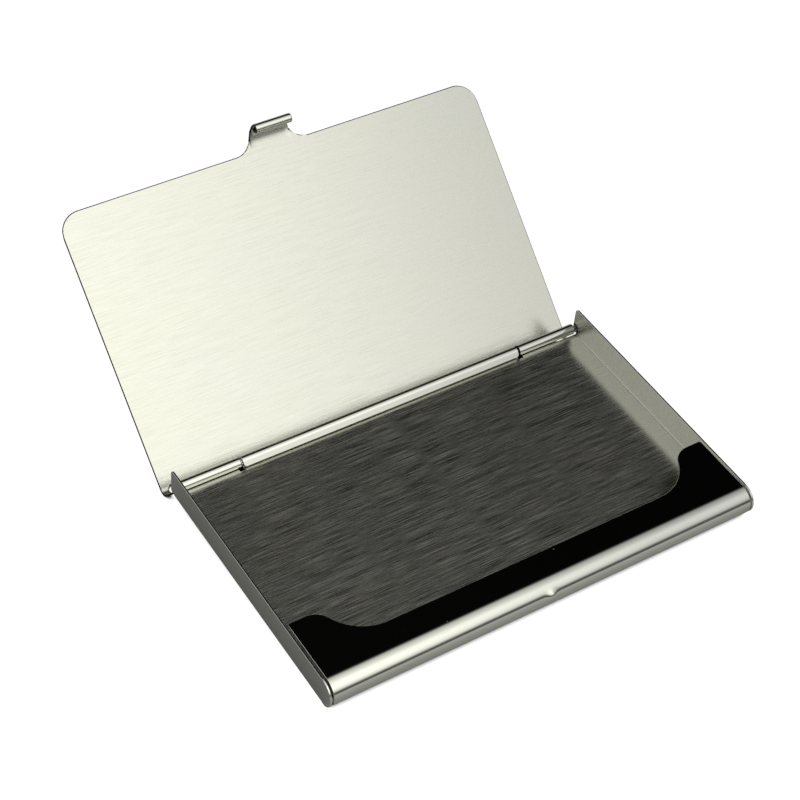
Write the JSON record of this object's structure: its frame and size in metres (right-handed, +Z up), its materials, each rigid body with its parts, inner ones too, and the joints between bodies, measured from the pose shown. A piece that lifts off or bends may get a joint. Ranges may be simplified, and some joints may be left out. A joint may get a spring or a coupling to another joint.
{
  "type": "business card case",
  "caption": "Slim hinged steel case for business cards: bent-sheet tray with a rolled front edge and card flap, flat lid with a hooked tab, wire hinge pin.",
  "frame": {"origin": "middle of the tray's flat bottom face", "axes": "+X along the hinge, +Y from the front roll towards the hinge, +Z up out of the tray"},
  "size_m": [0.0948, 0.1068, 0.0434],
  "materials": {
    "tray_steel": "fine satin brushing along the hinge direction, polished on the front roll and flap",
    "lid_steel": "satin brushing along the hinge direction",
    "pin_steel": "bright drawn wire"
  },
  "bodies": {
    "tray": {"tray": "tray_steel", "hinge_pin": "pin_steel"},
    "lid": {"lid": "lid_steel"}
  },
  "joints": [
    {"name": "lid_hinge", "type": "hinge", "parent": "tray", "child": "lid", "pos_m": [0, 0.029, 0.0011], "axis": [1, 0, 0], "range_deg": [0, 138.8]}
  ]
}
